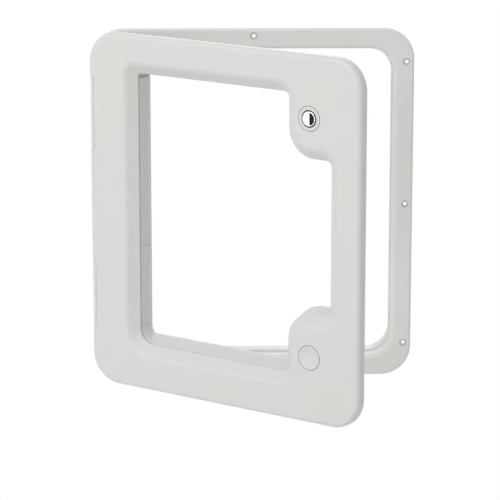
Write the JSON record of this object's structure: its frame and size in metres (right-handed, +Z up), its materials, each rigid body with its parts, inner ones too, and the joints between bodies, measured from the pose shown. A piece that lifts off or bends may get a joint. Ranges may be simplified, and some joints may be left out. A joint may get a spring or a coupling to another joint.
{
  "type": "toilet cassette door",
  "caption": "Hinged outside service door for a caravan toilet cassette: wall frame, open bezel door, key lock and push button latches.",
  "frame": {"origin": "on the back face of the flange, where it rests on the outside wall, on the centre line of the bottom rail, 14 mm above the flange's bottom edge", "axes": "+X to the right seen from outside, +Y into the wall, +Z up; the door stands 36 degrees open"},
  "size_m": [0.3434, 0.2492, 0.382],
  "materials": {
    "bezel_plastic": "satin moulded plastic, light warm grey",
    "frame_plastic": "satin moulded plastic, light grey",
    "inner_plastic": "matt moulded plastic, light grey",
    "button_plastic": "satin moulded plastic, light warm grey",
    "seal_rubber": "matt grey rubber",
    "pin_steel": "drawn steel",
    "key_chrome": "polished chrome",
    "shutter_dark": "dark glossy plastic"
  },
  "bodies": {
    "frame": {"wall_frame": "frame_plastic", "collar_seal": "seal_rubber", "hinge_lugs_upper": "frame_plastic", "hinge_lugs_lower": "frame_plastic", "hinge_pin_upper": "pin_steel", "hinge_pin_lower": "pin_steel"},
    "door": {"door_bezel": "bezel_plastic", "inner_frame": "inner_plastic", "hinge_cap_upper": "bezel_plastic", "hinge_cap_lower": "bezel_plastic", "retainer_left_upper": "inner_plastic", "retainer_left_middle": "inner_plastic", "retainer_corner": "inner_plastic", "retainer_bottom_middle": "inner_plastic", "retainer_bottom_right": "inner_plastic", "retainer_top": "inner_plastic", "retainer_right": "inner_plastic", "lock_case_upper": "inner_plastic", "lock_case_lower": "inner_plastic"},
    "lock_button": {"lock_button": "button_plastic"},
    "key_cylinder": {"key_plug": "key_chrome", "key_shutter": "shutter_dark", "key_cam": "pin_steel"},
    "push_button": {"push_button": "button_plastic"},
    "upper_latch": {"latch_upper": "inner_plastic"},
    "lower_latch": {"latch_lower": "inner_plastic"}
  },
  "joints": [
    {"name": "door_hinge", "type": "hinge", "parent": "frame", "child": "door", "pos_m": [-0.167, -0.01, 0.1765], "axis": [0, 0, -1], "range_deg": [-36, 79]},
    {"name": "lock_button_press", "type": "slide", "parent": "door", "child": "lock_button", "axis": [0.5878, 0.809, 0], "range_m": [0, 0.0035], "stiffness_N_per_m": 600, "springref_m": -0.008},
    {"name": "push_button_press", "type": "slide", "parent": "door", "child": "push_button", "axis": [0.5878, 0.809, 0], "range_m": [0, 0.0035], "stiffness_N_per_m": 600, "springref_m": -0.008},
    {"name": "key_turn", "type": "hinge", "parent": "lock_button", "child": "key_cylinder", "pos_m": [0.05175, -0.17882, 0.303], "axis": [-0.5878, -0.809, 0], "range_deg": [0, 90]},
    {"name": "upper_latch_slide", "type": "slide", "parent": "door", "child": "upper_latch", "axis": [-0.809, 0.5878, 0], "range_m": [0, 0.006]},
    {"name": "lower_latch_slide", "type": "slide", "parent": "door", "child": "lower_latch", "axis": [-0.809, 0.5878, 0], "range_m": [0, 0.006]}
  ],
  "couplings": [
    {"joint": "upper_latch_slide", "follows": "lock_button_press", "ratio": 1.7142},
    {"joint": "lower_latch_slide", "follows": "push_button_press", "ratio": 1.7142}
  ]
}
